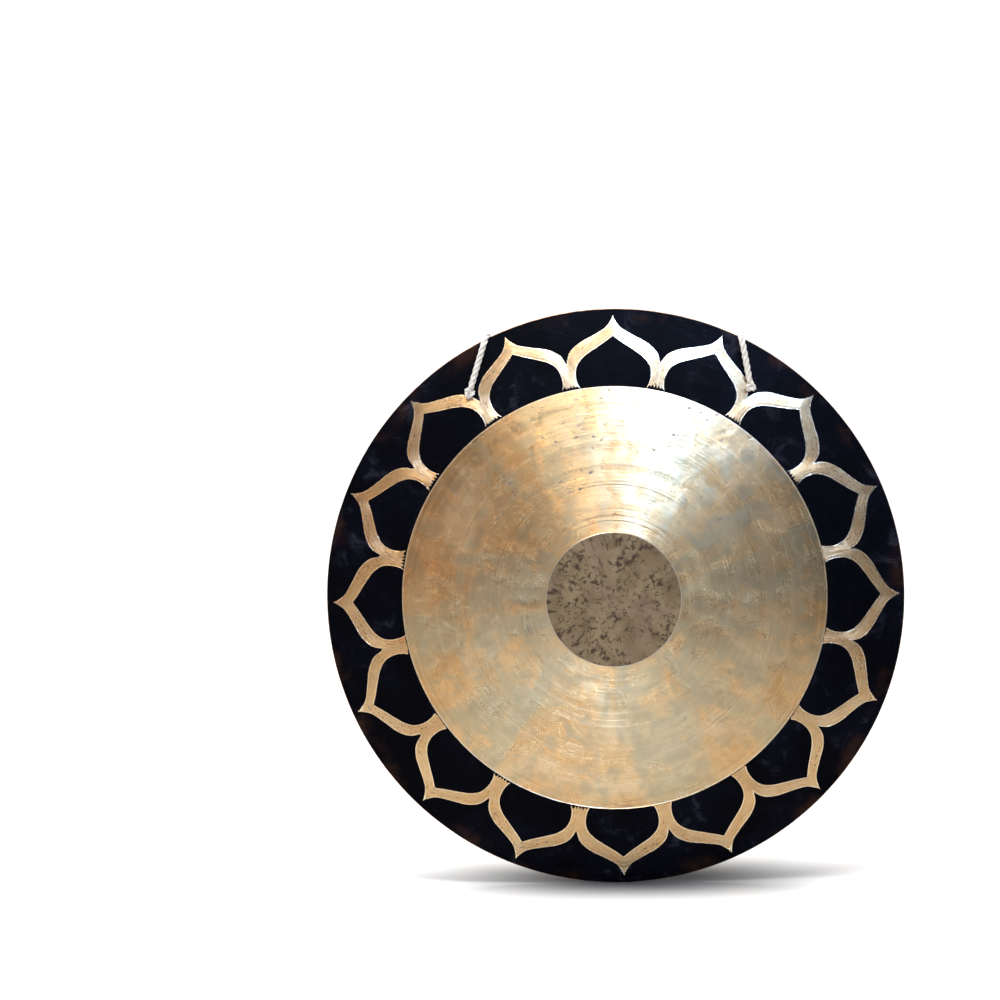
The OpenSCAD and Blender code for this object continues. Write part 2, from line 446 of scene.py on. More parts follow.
# %% Outline of the petals
PETALS, HALF_PETAL = 16, 11.25
OUTER = [(0, .981), (.4, .965), (1.7, .937), (4.5, .912), (7.5, .891), (9.5, .870), (10.5, .851),
         (11.25, .824)]
INNER = [(0, .914), (2, .891), (4.5, .868), (7, .845), (8.7, .819), (9.4, .788), (9.3, .757),
         (8.75, .737)]
SLIP = 1.1  # the drawing slipped to the right, so petals above and below lean that way by these degrees
TEETH, FOOT_HALF = 5, 2.1
UPPER_FOOT, LOWER_FOOT = 0.7390, 0.7342  # where the posts end, in gong radii
UPPER_TORN, LOWER_TORN = 0.95, 0.3  # the share of posts whose foot is torn
hand = random.Random(7)


def eased(points, per=6):
    """Points on the smooth line through these, per in each gap, as (degrees, distance in gong radii)."""
    p = np.array(points)
    p = np.vstack([2 * p[0] - p[1], p, 2 * p[-1] - p[-2]])
    out = []
    for a, b, c, d in zip(p, p[1:], p[2:], p[3:]):
        for t in np.linspace(0, 1, per, endpoint=False):
            out.append(.5 * (2 * b + (c - a) * t + (2 * a - 5 * b + 4 * c - d) * t * t
                             + (3 * b - a - 3 * c + d) * t ** 3))
    return np.array(out + [p[-2]])


# A petal's own error, each up to its limit: sideways lean of the tip, length, fullness, width of the band.
ERROR_LIMITS = (.3, .005, .2, .005)
errors = [[hand.uniform(-most, most) for most in ERROR_LIMITS] for _ in range(PETALS)]


def bent(half, side, error, thick=0.0):
    """A half outline on its side, moved by the petal's own error, which fades towards the valley."""
    lean, longer, fuller, _ = error
    fade = np.clip(1 - half[:, 0] / HALF_PETAL, 0, 1)
    angle = side * half[:, 0] + lean * fade ** 1.5 + side * fuller * np.sin(math.pi * fade)
    return np.column_stack([angle, half[:, 1] + longer * fade + thick * np.minimum(fade * 4, 1)])


def foot(valley):
    """Ragged end of one post, from side to side, as degrees from the valley and gong radii."""
    upper = math.cos(math.radians(valley)) > 0.2
    torn = hand.random() < (UPPER_TORN if upper else LOWER_TORN)
    start = UPPER_FOOT if upper else LOWER_FOOT
    out = []
    for k in range(1, TEETH * 2):
        deep = hand.uniform(.007, .016) if k % 2 and torn else hand.uniform(0, .0025)
        out.append((FOOT_HALF * (k / TEETH - 1) + hand.uniform(-.06, .06), start + deep))
    return np.array(out)


def in_space(line, middle=0):
    """Turns (degrees, gong radii) points into (x, z) points in metres."""
    a, r = np.radians(middle + line[:, 0]), line[:, 1] * GONG_R
    return np.column_stack([r * np.sin(a), CENTRE_Z + r * np.cos(a)])


def slipped(degrees):
    """Where a petal that was meant for this angle was really drawn."""
    return degrees + SLIP * math.cos(math.radians(degrees))


outer_half, inner_half = eased(OUTER), eased(INNER)
outer_line, inner_line, openings = [], [], []
for number, error in enumerate(errors):
    middle, valley = slipped(number * 2 * HALF_PETAL), (number * 2 + 1) * HALF_PETAL
    petal = [bent(outer_half, -1, error)[::-1], bent(outer_half, 1, error)[1:-1]]
    opening = [bent(inner_half, -1, error, error[3])[::-1], bent(inner_half, 1, error, error[3])[1:]]
    outer_line.append(in_space(np.vstack(petal), middle))
    openings.append(in_space(np.vstack(opening), middle))
    inner_line += [openings[-1], in_space(foot(valley), slipped(valley))]
outer_line, inner_line = np.vstack(outer_line), np.vstack(inner_line)
print("outline points:", len(outer_line), "and", len(inner_line))

# %% [markdown]
# ## Scraping the ring into the face
# Each outline becomes a thin fence that stands across the face: a circle of the right number of
# points, pulled onto the outline and extruded to half the depth of the sheet. Where the fences pass
# through the face, the intersect tool cuts new edges. The faces between the two cuts are then
# extruded inwards by the depth of the scraper.

# %% Cut the outlines into the face
SCRAPE, FENCE_TOP, CUT_SEAM = 0.00022, 0.006, 0.000004


def fence(name, line):
    """A closed wall along the outline, from in front of the face to the middle of the sheet."""
    bpy.ops.object.select_all(action="DESELECT")
    bpy.ops.mesh.primitive_circle_add(vertices=len(line), radius=GONG_R, location=(0, 0, 0))
    wall = bpy.context.object
    wall.name = name
    reach = np.hypot(line[:, 0], line[:, 1] - CENTRE_Z)
    for v, (x, z), r in zip(wall.data.vertices, line, reach):
        v.co = (x, face_y(r, FENCE_TOP), z)
    bpy.ops.object.mode_set(mode="EDIT")
    bpy.ops.mesh.select_all(action="SELECT")
    bpy.ops.mesh.extrude_region_move(TRANSFORM_OT_translate={"value": (0, FENCE_TOP, 0)})
    bpy.ops.object.mode_set(mode="OBJECT")
    wall.data.materials.append(bpy.data.materials["fence_mark"])
    return wall


def inside(line, x, z):
    """Whether points lie inside a closed outline, by counting the edges that a ray crosses."""
    odd = np.zeros(len(x), dtype=bool)
    for (x0, z0), (x1, z1) in zip(line, np.roll(line, -1, axis=0)):
        if z0 != z1:
            odd ^= ((z0 > z) != (z1 > z)) & (x < (x1 - x0) * (z - z0) / (z1 - z0) + x0)
    return odd


fences = [fence("outer_fence", outer_line), fence("inner_fence", inner_line)]
only(plate)
for wall in fences:
    wall.select_set(True)
bpy.ops.object.join()
is_fence = lambda c, n, m: m == SLOT["fence_mark"]
print("fence faces:", pick_faces(plate, is_fence))
edit_faces()
bpy.ops.mesh.intersect(mode="SELECT_UNSELECT", separate_mode="NONE", solver="EXACT")
bpy.ops.object.mode_set(mode="OBJECT")
pick_faces(plate, is_fence)
edit_faces()
bpy.ops.mesh.delete(type="FACE")
bpy.ops.mesh.select_all(action="SELECT")
bpy.ops.mesh.remove_doubles(threshold=CUT_SEAM)
bpy.ops.object.mode_set(mode="OBJECT")
plate.data.materials.pop(index=SLOT["fence_mark"])
FRONT = lambda n: n[:, 1] < -0.5
within = lambda line, c: inside(line, c[:, 0], c[:, 2])
in_ring = lambda c, n, m: FRONT(n) & within(outer_line, c) & ~within(inner_line, c)
give(plate, "scraped_band", in_ring)
edit_faces()
bpy.ops.mesh.extrude_region_move(TRANSFORM_OT_translate={"value": (0, SCRAPE, 0)})
bpy.ops.object.mode_set(mode="OBJECT")
print("plate with its ring:", len(plate.data.polygons), "faces")

# %% [markdown]
# ## Two drilled holes
# The cords pass through two round holes in valleys of the ring. A cylinder is placed across the
# sheet and taken away from it with a boolean. Its wall brings the finish of worn bare metal along.

# %% Drill the holes
HOLE_SIDES, BIT_LONG = 48, 0.02


def drill(x):
    """Cuts one round hole through the sheet at this x."""
    bpy.ops.object.select_all(action="DESELECT")
    bpy.ops.mesh.primitive_cylinder_add(vertices=HOLE_SIDES, radius=HOLE_R, depth=BIT_LONG,
                                        location=(x, 0, 0), rotation=(math.pi / 2, 0, 0))
    bit = bpy.context.object
    bit.data.materials.append(bpy.data.materials["worn_edge"])
    only(plate)
    cut = plate.modifiers.new("hole", "BOOLEAN")
    cut.operation, cut.solver, cut.object, cut.material_mode = "DIFFERENCE", "EXACT", bit, "TRANSFER"
    bpy.ops.object.modifier_apply(modifier="hole")
    bpy.data.objects.remove(bit)


drill(-HOLE_X)
drill(HOLE_X)
print("hole wall faces:", pick_faces(plate, lambda c, n, m: m == SLOT["worn_edge"]))

# %% [markdown]
# ## Hammer dents
# The sheet was beaten out by hand, so it is never quite smooth, and its reflections swim. A Displace
# modifier moves every point a little along Y by a cloudy pattern. Both sides move together, so
# the sheet keeps its thickness. A second, wider pattern gives the slow waves of the whole sheet.

# %% Dent the sheet
def dent(name, size, strength):
    """Moves the plate's points along Y by a cloud pattern of this size and strength in metres."""
    clouds = bpy.data.textures.new(name, "CLOUDS")
    clouds.noise_scale, clouds.noise_depth, clouds.noise_basis = size, 1, "ORIGINAL_PERLIN"
    only(plate)
    wave = plate.modifiers.new(name, "DISPLACE")
    wave.texture, wave.direction, wave.texture_coords = clouds, "Y", "LOCAL"
    wave.strength, wave.mid_level = strength, 0.5
    bpy.ops.object.modifier_apply(modifier=name)


dent("hammer_marks", 0.016, 0.00030)
dent("slow_waves", 0.060, 0.00060)
print("plate depth:", round(float(np.ptp([v.co.y for v in plate.data.vertices])) * 1000, 2), "mm")

# %% [markdown]
# ## Which faces get which finish
# The finish follows the distance from the gong's centre: raw centre, lathed disc, black border, worn
# rim. The ring's faces have theirs already. Edges are shaded smooth except where the metal turns
# sharply, at the steps and the rim.

# %% Give the finishes
from_middle = lambda c: np.hypot(c[:, 0], c[:, 2] - CENTRE_Z)
plain = lambda m: m == SLOT["black_skin"]
turned = lambda c: (from_middle(c) < LATHED_R) & (from_middle(c) > CENTRE_R)
give(plate, "lathed_bronze", lambda c, n, m: plain(m) & turned(c))
give(plate, "raw_centre", lambda c, n, m: plain(m) & (from_middle(c) <= CENTRE_R))
give(plate, "worn_edge", lambda c, n, m: plain(m) & (from_middle(c) > GONG_R - RIM_BEVEL * 1.1))
only(plate)
bpy.ops.object.shade_smooth_by_angle(angle=math.radians(28))
slots = np.empty(len(plate.data.polygons), dtype=np.int32)
plate.data.polygons.foreach_get("material_index", slots)
print({name: int((slots == SLOT[name]).sum()) for name in FINISHES[:-1]})

# %% [markdown]
# ## Stroke directions
# A scraped band shines across its strokes, and the strokes run along the petals. The material has to
# know that direction, so each point of the ring stores how far it lies from the nearest
# opening (stroke_line), how far along that opening (stroke_run), which way leads away from it
# (stroke_across), and how near the closest edge of the band is (band_edge). These are the kind of
# numbers that a UV map would hold.

# %% Store the strokes
NEARBY, FAR_OFF = 0.09, 9.0  # a petal's outline reaches less than NEARBY from its own middle


def nearest_on(lines, points):
    """Distance, way along and direction away from the nearest of the open lines, for each point."""
    best, run, away = np.full(len(points), FAR_OFF), np.zeros(len(points)), np.zeros((len(points), 2))
    for line in lines:
        a, step = line[:-1], np.diff(line, axis=0)
        long = np.linalg.norm(step, axis=1)
        start = np.r_[0, np.cumsum(long)][:-1]
        close = np.linalg.norm(points - line.mean(axis=0), axis=1) < NEARBY
        if not close.any():
            continue
        p = points[close]
        t = np.clip(((p[:, None] - a) * step).sum(2) / long ** 2, 0, 1)
        gap = p[:, None] - (a + t[..., None] * step)
        far = np.linalg.norm(gap, axis=2)
        k = far.argmin(axis=1)
        row = np.arange(len(p))
        here = np.flatnonzero(close)
        better = far[row, k] < best[here]
        here, row, k = here[better], row[better], k[better]
        best[here], run[here] = far[row, k], start[k] + t[row, k] * long[k]
        away[here] = gap[row, k] / np.maximum(far[row, k], 1e-9)[:, None]
    return best, run, away


points = np.empty(len(plate.data.vertices) * 3)
plate.data.vertices.foreach_get("co", points)
points = points.reshape(-1, 3)
line, run, away = nearest_on(openings, points[:, [0, 2]])
across = np.column_stack([away[:, 0], np.zeros(len(away)), away[:, 1]])
edge = np.minimum(line, nearest_on(list(outer_line.reshape(PETALS, -1, 2)), points[:, [0, 2]])[0])
for name, kind, field, values in (("stroke_line", "FLOAT", "value", line),
                                  ("stroke_run", "FLOAT", "value", run),
                                  ("band_edge", "FLOAT", "value", edge),
                                  ("stroke_across", "FLOAT_VECTOR", "vector", across)):
    layer = plate.data.attributes.new(name, kind, "POINT")
    layer.data.foreach_set(field, values.astype(np.float32).ravel())
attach(plate, "root")
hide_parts("gong_plate")
print("strokes stored on", len(points), "points")

# %% [markdown]
# ## Shader maths
# A material is a graph of nodes. Numbers are easier to read as sums, so this class wraps one socket:
# adding or multiplying two of them adds the Math node that does it. Its node method makes any other
# node from its type, settings and inputs.

# %% A wrapper for sockets
class Wire:
    """One output socket, with arithmetic that builds Math nodes."""

    def __init__(self, socket):
        self.socket = socket
        self.tree = socket.id_data

    def node(self, kind, settings=None, out=0, **inputs):
        """Adds a node, applies its settings, fills its inputs by name or number, returns one output."""
        made = self.tree.nodes.new("ShaderNode" + kind)
        for key, value in (settings or {}).items():
            if key == "stops":
                ramp = made.color_ramp
                while len(ramp.elements) < len(value):
                    ramp.elements.new(0.5)
                for stop, (at, colour) in zip(ramp.elements, value):
                    stop.position, stop.color = at, (*colour, 1)
            else:
                setattr(made, key, value)
        for key, value in inputs.items():
            socket = made.inputs[int(key[1:]) if key[0] == "_" else key.replace("_", " ")]
            if isinstance(value, Wire):
                self.tree.links.new(value.socket, socket)
            else:
                socket.default_value = value
        return Wire(made.outputs[out])

    def math(self, operation, *values):
        return self.node("Math", {"operation": operation}, **{f"_{i}": v for i, v in enumerate(values)})

    def __add__(self, other): return self.math("ADD", self, other)
    def __radd__(self, other): return self.math("ADD", other, self)
    def __sub__(self, other): return self.math("SUBTRACT", self, other)
    def __rsub__(self, other): return self.math("SUBTRACT", other, self)
    def __mul__(self, other): return self.math("MULTIPLY", self, other)
    def __rmul__(self, other): return self.math("MULTIPLY", other, self)
    def __truediv__(self, other): return self.math("DIVIDE", self, other)
    def __rtruediv__(self, other): return self.math("DIVIDE", other, self)
    def __pow__(self, other): return self.math("POWER", self, other)

    def ramp(self, low, high, to_low=0.0, to_high=1.0):
        """Smooth step of this value from low..high to to_low..to_high."""
        return self.node("MapRange", {"interpolation_type": "SMOOTHSTEP"}, Value=self, From_Min=low,
                         From_Max=high, To_Min=to_low, To_Max=to_high)

    def mix(self, dark, light):
        """Blends two colours, with this value as the share of the second."""
        fill = {f"_{i}": (*c, 1) if isinstance(c, tuple) else c for i, c in ((6, dark), (7, light))}
        return self.node("Mix", {"data_type": "RGBA"}, out=2, _0=self, **fill)

    def vector(self, operation, *values, out=0):
        return self.node("VectorMath", {"operation": operation}, out=out,
                         **{f"_{i}": v for i, v in enumerate(values)})

    def noise(self, scale, detail=2.0, rough=0.5, warp=0.0, kind="3D"):
        """Noise over this position, or over this number when kind is 1D."""
        place = {"W": self} if kind == "1D" else {"Vector": self}
        return self.node("TexNoise", {"noise_dimensions": kind}, Scale=scale, Detail=detail, Roughness=rough,
                         Distortion=warp, **place)


def open_finish(material):
    """Clears a material and returns its shader node and the position on the piece."""
    material.use_nodes = True
    tree = material.node_tree
    tree.nodes.clear()
    output = tree.nodes.new("ShaderNodeOutputMaterial")
    shader = tree.nodes.new("ShaderNodeBsdfPrincipled")
    tree.links.new(shader.outputs[0], output.inputs["Surface"])
    return shader, Wire(tree.nodes.new("ShaderNodeTexCoord").outputs["Object"])


def connect(shader, **inputs):
    """Fills the shader's inputs with values or links."""
    for name, value in inputs.items():
        socket = shader.inputs[name.replace("_", " ")]
        if isinstance(value, Wire):
            value.tree.links.new(value.socket, socket)
        else:
            socket.default_value = value


print("ways to make nodes:", sorted(name for name in vars(Wire) if name[0] != "_"))

# %% [markdown]
# ## Helpers for turned and scraped metal
# Fine grooves act like a crowd of tiny mirrors that are tilted across the groove. That crowd makes
# the bright wedge on a lathed disc. Here every groove gets its own tilt: the position across the
# grooves is cut into narrow cells, white noise gives each cell a number, and the surface normal leans
# that far across the groove.

# %% Radius, angle and groove normals
def around(place):
    """Distance from the gong's axis and angle from the top, as numbers that vary over the plate."""
    split = place.node("SeparateXYZ", _0=place)
    x, z = split, place.node("SeparateXYZ", out=2, _0=place) - CENTRE_Z
    return place.math("SQRT", x * x + z * z), place.math("ARCTAN2", x, z)


def outward(place):
    """Unit vector that points away from the gong's axis."""
    flat = place.vector("MULTIPLY", place.vector("SUBTRACT", place, (0, 0, CENTRE_Z)), (1, 0, 1))
    return place.vector("NORMALIZE", flat)


def grooved(place, line, across, cell, spread, lean=0.0):
    """Surface normal tilted across the grooves by a random amount in every cell of the line."""
    cells = place.math("FLOOR", line / cell)
    noise = place.node("TexWhiteNoise", {"noise_dimensions": "1D"}, out=1, W=cells)
    sides = place.vector("SUBTRACT", noise, (0.5, 0.5, 0.5))
    tilt = place.vector("DOT_PRODUCT", sides, (1, 1, 1), out=1) * spread + lean
    world = place.node("VectorTransform", {"vector_type": "VECTOR", "convert_from": "OBJECT",
                                           "convert_to": "WORLD"}, Vector=across)
    lean = place.node("VectorMath", {"operation": "SCALE"}, _0=world, Scale=tilt)
    return place.vector("NORMALIZE", place.vector("ADD", place.node("NewGeometry", out=1), lean))


def bump(place, height, distance, normal=None, strength=1.0):
    """Normal roughened by a height, on top of another normal if one is given."""
    more = {} if normal is None else {"Normal": normal}
    return place.node("Bump", Height=height, Distance=distance, Strength=strength, **more)


print("helpers for grooves: around, outward, grooved, bump")

# %% [markdown]
# ## Lathed bronze
# The disc between the centre and the border was scraped bright on a lathe. Real turning leaves fine
# rings of uneven depth and colour, a few dark pits where the skin went deeper than the cut, and soft
# stains. The colour is a warm bronze. Rings are noise over the distance from the axis only, slightly
# broken by slow noise so that no ring is perfect.

# %% Lathed bronze
def lathed_bronze():
    shader, place = open_finish(bpy.data.materials["lathed_bronze"])
    r, turn = around(place)
    line = r + place.noise(9, 1) * 0.0012
    wide_rings = line.noise(230, 4, 0.62, kind="1D")
    fine_rings = line.noise(1500, 3, 0.7, kind="1D")
    arcs = place.node("CombineXYZ", _0=line * 620, _1=turn * 4, _2=0.0).noise(1, 4, 0.62)
    near_edge = r.ramp(LATHED_R - 0.026, LATHED_R - 0.004)
    upper = place.node("SeparateXYZ", out=2, _0=place).ramp(CENTRE_Z - 0.02, CENTRE_Z + 0.10)
    cut_marks = arcs.ramp(0.55, 0.68) * (near_edge * 0.6 + place.noise(13, 2).ramp(0.52, 0.66) * upper * 0.3)
    soft = place.noise(13, 4, 0.6, 0.6)
    hammered = place.noise(62, 4, 0.55, 0.5)
    glow = place.noise(29, 4, 0.58, 0.8)
    rays = place.node("CombineXYZ", _0=place.math("SINE", turn) * 2.2, _1=place.math("COSINE", turn) * 2.2,
                      _2=r * 4).noise(1, 3, 0.6, 0.3)
    colour = soft.ramp(0.32, 0.7).mix((0.44, 0.240, 0.088), (0.51, 0.330, 0.155))
    colour = (rays.ramp(0.44, 0.58) * 0.7).mix(colour, (0.35, 0.270, 0.145))
    colour = (glow.ramp(0.50, 0.68) * 0.5).mix(colour, (0.62, 0.33, 0.12))
    colour = (hammered.ramp(0.48, 0.66) * 0.6).mix(colour, (0.30, 0.235, 0.130))
    colour = (wide_rings.ramp(0.45, 0.70) * 0.08).mix(colour, (0.66, 0.54, 0.36))
    colour = cut_marks.mix(colour, (0.16, 0.10, 0.055))
    wavy = place.vector("ADD", place, place.noise(90, 2) * 0.012)
    squeezed = place.vector("MULTIPLY", wavy, (1.0, 1.0, 1.5))
    cells = place.node("TexVoronoi", {"feature": "F1"}, Vector=squeezed, Scale=88, Randomness=1)
    spots = cells.ramp(0.10, 0.24, 1, 0) * place.noise(15, 2).ramp(0.49, 0.56) * upper
    colour = (spots * 0.80).mix(colour, (0.12, 0.09, 0.075))
    lip = r.ramp(LATHED_R - 0.0016, LATHED_R - 0.0008)
    colour = (lip * 0.35).mix(colour, (0.86, 0.74, 0.54))
    rough = 0.19 + fine_rings * 0.05 + soft * 0.05 + hammered * 0.08 + spots * 0.2
    lean = (hammered - 0.5) * 0.22 + (glow - 0.5) * 0.22 + near_edge * 0.06
    tilt = grooved(place, line, outward(place), 0.00003, 0.34, lean)
    height = (fine_rings * 0.07 + wide_rings * 0.05 + arcs * 0.4) * (near_edge * 0.85 + 0.15) - spots * 0.5
    normal = bump(place, height + hammered * 1.6 + glow * 2.2, 0.00020, tilt)
    connect(shader, Base_Color=colour, Metallic=1.0 - spots * 0.6, Roughness=rough, Normal=normal)


lathed_bronze()
print("lathed bronze has", len(bpy.data.materials["lathed_bronze"].node_tree.nodes), "nodes")

# %% [markdown]
# ## Scraped bands
# The bands were cut with a hand scraper, so the strokes follow the petals and are coarser than lathe
# rings. The metal is brighter at the two edges, where the tool ran clean, and brown where some skin
# was left between strokes.

# %% Scraped bands
def scraped_band():
    shader, place = open_finish(bpy.data.materials["scraped_band"])
    read = lambda name, out: place.node("Attribute", {"attribute_name": name}, out=out)
    line, run, across = read("stroke_line", 2), read("stroke_run", 2), read("stroke_across", 1)
    rim = read("band_edge", 2).ramp(0.0003, 0.0016, 1, 0)
    line = line + place.noise(30, 2) * 0.0010
    strokes = place.node("CombineXYZ", _0=line * 900, _1=run * 70, _2=0.0).noise(1, 4, 0.65)
    flecks = place.node("CombineXYZ", _0=line * 620, _1=run * 330, _2=3.0).noise(1, 4, 0.66)
    soft = place.noise(26, 4, 0.6, 0.5)
    blotch = place.noise(110, 5, 0.65, 0.8)
    colour = soft.ramp(0.32, 0.7).mix((0.38, 0.215, 0.080), (0.46, 0.31, 0.150))
    colour = (blotch.ramp(0.45, 0.68) * 0.5).mix(colour, (0.52, 0.27, 0.10))
    colour = (strokes.ramp(0.38, 0.66) * 0.3).mix(colour, (0.60, 0.48, 0.31))
    left_skin = flecks.ramp(0.54, 0.63) * (place.noise(15, 3, 0.6).ramp(0.46, 0.58) * 0.7 + 0.3)
    colour = (left_skin * 0.9).mix(colour, (0.075, 0.040, 0.020))
    colour = (rim * 0.6).mix(colour, (0.74, 0.60, 0.40))
    rough = 0.24 + strokes * 0.10 + left_skin * 0.2 - rim * 0.04
    tilt = grooved(place, line, across, 0.00005, 0.31, (soft - 0.5) * 0.3)
    normal = bump(place, strokes * 0.4 + flecks * 0.7 + soft + blotch, 0.00022, tilt)
    connect(shader, Base_Color=colour, Metallic=1.0 - left_skin * 0.4, Roughness=rough, Normal=normal)


scraped_band()
print("scraped band has", len(bpy.data.materials["scraped_band"].node_tree.nodes), "nodes")

# %% [markdown]
# ## Black skin
# Heating and quenching leave a hard black scale on the sheet. It is nearly black with a blue cast, a
# little brown towards the rim where hands have worn it, and its fine pitted grain shows up only in
# reflections. A dark non-metal with a soft gloss does this.

# %% Black skin
def black_skin():
    shader, place = open_finish(bpy.data.materials["black_skin"])
    r = around(place)[0]
    clouds = place.noise(38, 5, 0.64, 0.8)
    wide = place.noise(11, 3, 0.55, 0.4)
    grain = place.noise(420, 4, 0.7)
    scale = place.noise(120, 5, 0.68, 0.6)
    colour = wide.ramp(0.4, 0.66).mix((0.0008, 0.0009, 0.0022), (0.0020, 0.0024, 0.0065))
    colour = (clouds.ramp(0.52, 0.74) * wide.ramp(0.44, 0.6)).mix(colour, (0.024, 0.027, 0.045))
    colour = (scale.ramp(0.54, 0.74) * 0.3).mix(colour, (0.007, 0.006, 0.008))
    worn = r.ramp(0.280, 0.2998) * place.noise(18, 4, 0.6).ramp(0.50, 0.68)
    colour = (worn * 0.5).mix(colour, (0.050, 0.022, 0.012))
    rough = 0.34 + clouds * 0.16 + scale * 0.12
    normal = bump(place, grain * 0.4 + scale + clouds * 2, 0.00030)
    shader.inputs["Specular IOR Level"].default_value = 0.02
    connect(shader, Base_Color=colour, Metallic=0.0, Roughness=rough, Normal=normal)


black_skin()
print("black skin has", len(bpy.data.materials["black_skin"].node_tree.nodes), "nodes")

# %% [markdown]
# ## Raw centre
# The middle was never turned. It keeps a matt khaki and pinkish skin with dark purple-brown blotches,
# short streaks that run outwards, and a thin bright line where the lathe tool started.

# %% Raw centre
def raw_centre():
    shader, place = open_finish(bpy.data.materials["raw_centre"])
    r, turn = around(place)
    spokes = place.node("CombineXYZ", _0=r * 60, _1=place.math("SINE", turn) * 10,
                        _2=place.math("COSINE", turn) * 10).noise(1, 4, 0.65, 0.6)
    soft = place.noise(32, 4, 0.6, 0.7)
    tint = place.noise(20, 3, 0.55, 0.3)
    blots = place.noise(150, 4, 0.64, 1.2)
    where = place.noise(30, 3, 0.5, 0.4)
    colour = soft.ramp(0.32, 0.7).mix((0.170, 0.122, 0.064), (0.270, 0.205, 0.118))
    colour = (tint.ramp(0.46, 0.66) * 0.5).mix(colour, (0.25, 0.175, 0.125))
    marks = blots.ramp(0.52, 0.60) * where.ramp(0.34, 0.56)
    streaks = spokes.ramp(0.55, 0.65) * r.ramp(0.018, 0.055)
    dark = place.math("MINIMUM", marks + streaks, 1.0)
    colour = (dark * 0.85).mix(colour, (0.034, 0.019, 0.012))
    lip = r.ramp(0.0690, 0.0696)
    colour = lip.mix(colour, (0.46, 0.37, 0.25))
    rough = 0.55 + soft * 0.12 - lip * 0.25
    shader.inputs["Specular IOR Level"].default_value = 0.10
    normal = bump(place, blots + soft * 1.4 + spokes * 0.5 + place.noise(300, 3) * 0.4, 0.00028)
    connect(shader, Base_Color=colour, Metallic=0.05 + lip * 0.95, Roughness=rough, Normal=normal)


raw_centre()
print("raw centre has", len(bpy.data.materials["raw_centre"].node_tree.nodes), "nodes")

# %% [markdown]
# ## Worn edge
# The outermost edge and the walls of the holes are bare metal that has darkened to copper brown.

# %% Worn edge
def worn_edge():
    shader, place = open_finish(bpy.data.materials["worn_edge"])
    patches = place.noise(70, 4, 0.6, 0.4)
    colour = patches.ramp(0.38, 0.66).mix((0.16, 0.075, 0.035), (0.50, 0.27, 0.13))
    normal = bump(place, place.noise(500, 3) + patches, 0.00012)
    connect(shader, Base_Color=colour, Metallic=0.9, Roughness=0.34 + patches * 0.2, Normal=normal)


worn_edge()
print("worn edge has", len(bpy.data.materials["worn_edge"].node_tree.nodes), "nodes")

# %% [markdown]
# ## White cotton cord
# The cord is undyed cotton. Its strands show fine threads that run slightly across them, so the
# pattern is drawn on the strand's own UV map: metres along the strand, and one turn round it.
# A little sheen stands for the loose fibres.

# %% Cotton
def cotton(name, warm):
    material = bpy.data.materials.new(name)
    shader, place = open_finish(material)
    uv = place.node("TexCoord", out=2)
    along, turn = uv.node("SeparateXYZ", _0=uv), uv.node("SeparateXYZ", out=1, _0=uv)
    threads = place.math("SINE", along * 900 + turn * (2 * math.pi * 7))
    fluff = place.noise(900, 3, 0.7)
    grey = place.noise(120, 3, 0.6)
    shadow = (0.84 * warm, 0.81 * warm, 0.76 * warm)
    colour = (threads * 0.2 + fluff).ramp(0.3, 0.75).mix(shadow, (0.97, 0.96, 0.93))
    colour = (grey.ramp(0.52, 0.7) * 0.2).mix(colour, (0.62, 0.60, 0.58))
    normal = bump(place, threads * 0.5 + fluff * 0.8, 0.00022)
    shader.inputs["Sheen Weight"].default_value = 0.25
    shader.inputs["Specular IOR Level"].default_value = 0.2
    connect(shader, Base_Color=colour, Roughness=0.92, Normal=normal)
    return material


strand_finish, knot_finish = cotton("cotton_strand", 1.0), cotton("cotton_knot", 0.96)
for side in LEANS:
    cords[side].data.materials.append(strand_finish)
    knots[side].data.materials.append(knot_finish)
print("cotton on", len(cords) + len(knots), "pieces")

# %% [markdown]
# ## Studio
# A pale floor curves up into a pale wall behind the gong. One large soft light stands high in front:
# the grooves stretch its reflection into the bright wedge above the centre. A warm lamp beside it gilds
# the wedge's left edge, and a small light near the floor cools the opposite side. These three show in
# reflections only. A dark card on the floor makes the lower right edge of the disc deeper; it shows when
# the scene is looked at from behind. The floor is so bright that a real shadow washes out, so a soft dark
# patch is painted where the gong stands.

# %% Floor, wall and lights
SHADE_AT, SHADE_SIZE = (0.02, 0.02, FLOOR_Z), (0.27, 0.105, 1.0)
FLOOR_SIZE, SWEEP_R, SWEEP_STEPS, WALL_UP = 8, 1.2, 12, 4
CARD_AT, CARD_SIZE = (0.95, -1.85, FLOOR_Z + 0.002), (1.3, 2.2, 1)


